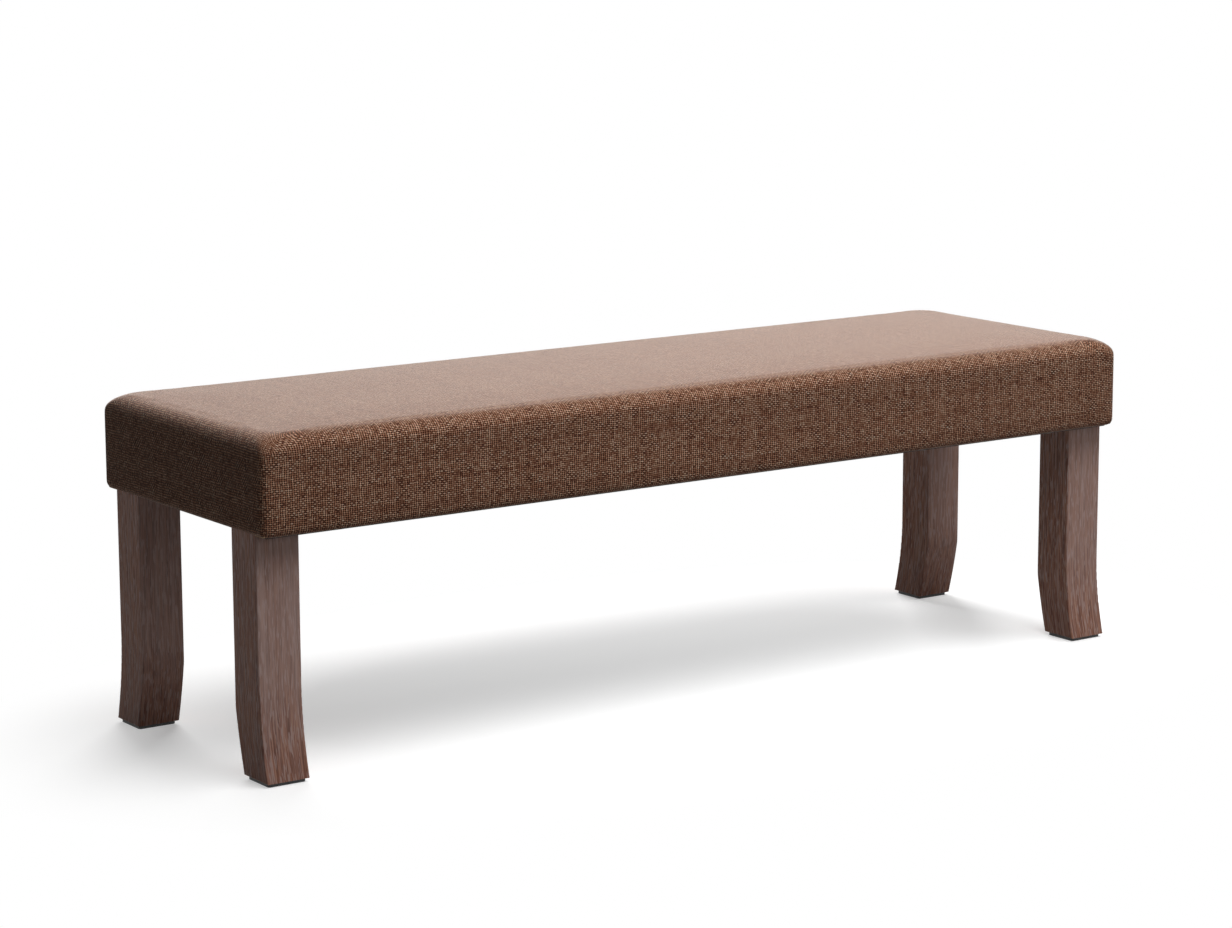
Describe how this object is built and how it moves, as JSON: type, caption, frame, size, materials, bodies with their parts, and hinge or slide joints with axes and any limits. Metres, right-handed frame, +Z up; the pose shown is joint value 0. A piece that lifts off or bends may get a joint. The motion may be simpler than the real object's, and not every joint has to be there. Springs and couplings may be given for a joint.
{
  "type": "upholstered bench",
  "caption": "Long upholstered bench: a crowned, padded seat with rounded edges on square dark timber legs whose feet flare to the front and back.",
  "frame": {"origin": "on the floor, under the middle of the seat", "axes": "+X along the bench to the sitter's left, -Y towards the front, +Z up"},
  "size_m": [1.5, 0.455, 0.474],
  "materials": {
    "leg_timber": "dark stained, open grain, satin",
    "frame_timber": "sawn, unfinished",
    "fastener_steel": "zinc plated",
    "glide_plastic": "matt black",
    "webbing": "jute webbing",
    "hessian": "open plain weave",
    "foam": "open-cell foam",
    "wadding": "soft polyester wadding",
    "seat_fabric": "coarse two-tone plain weave",
    "dust_cloth": "black non-woven cloth"
  },
  "bodies": {
    "root": {"front_left_leg": "leg_timber", "front_left_corner_block": "frame_timber", "front_left_glide": "glide_plastic", "front_right_leg": "leg_timber", "front_right_corner_block": "frame_timber", "front_right_glide": "glide_plastic", "back_left_leg": "leg_timber", "back_left_corner_block": "frame_timber", "back_left_glide": "glide_plastic", "back_right_leg": "leg_timber", "back_right_corner_block": "frame_timber", "back_right_glide": "glide_plastic", "front_rail": "frame_timber", "back_rail": "frame_timber", "left_end_rail": "frame_timber", "right_end_rail": "frame_timber", "left_cross_rail": "frame_timber", "middle_cross_rail": "frame_timber", "right_cross_rail": "frame_timber", "end_rail_dowels": "frame_timber", "leg_hanger_bolts": "fastener_steel", "leg_bolt_washers": "fastener_steel", "leg_bolt_nuts": "fastener_steel", "corner_block_screws": "fastener_steel", "cross_rail_screws": "fastener_steel", "webbing_staples": "fastener_steel", "hem_staples": "fastener_steel", "dust_cover_staples": "fastener_steel", "glide_nails": "fastener_steel", "cross_strap_1": "webbing", "cross_strap_2": "webbing", "cross_strap_3": "webbing", "cross_strap_4": "webbing", "cross_strap_5": "webbing", "cross_strap_6": "webbing", "cross_strap_7": "webbing", "cross_strap_8": "webbing", "cross_strap_9": "webbing", "long_strap_1": "webbing", "long_strap_2": "webbing", "hessian_sheet": "hessian", "foam_pad": "foam", "wadding": "wadding", "seat_cover": "seat_fabric", "dust_cover": "dust_cloth"}
  },
  "joints": []
}
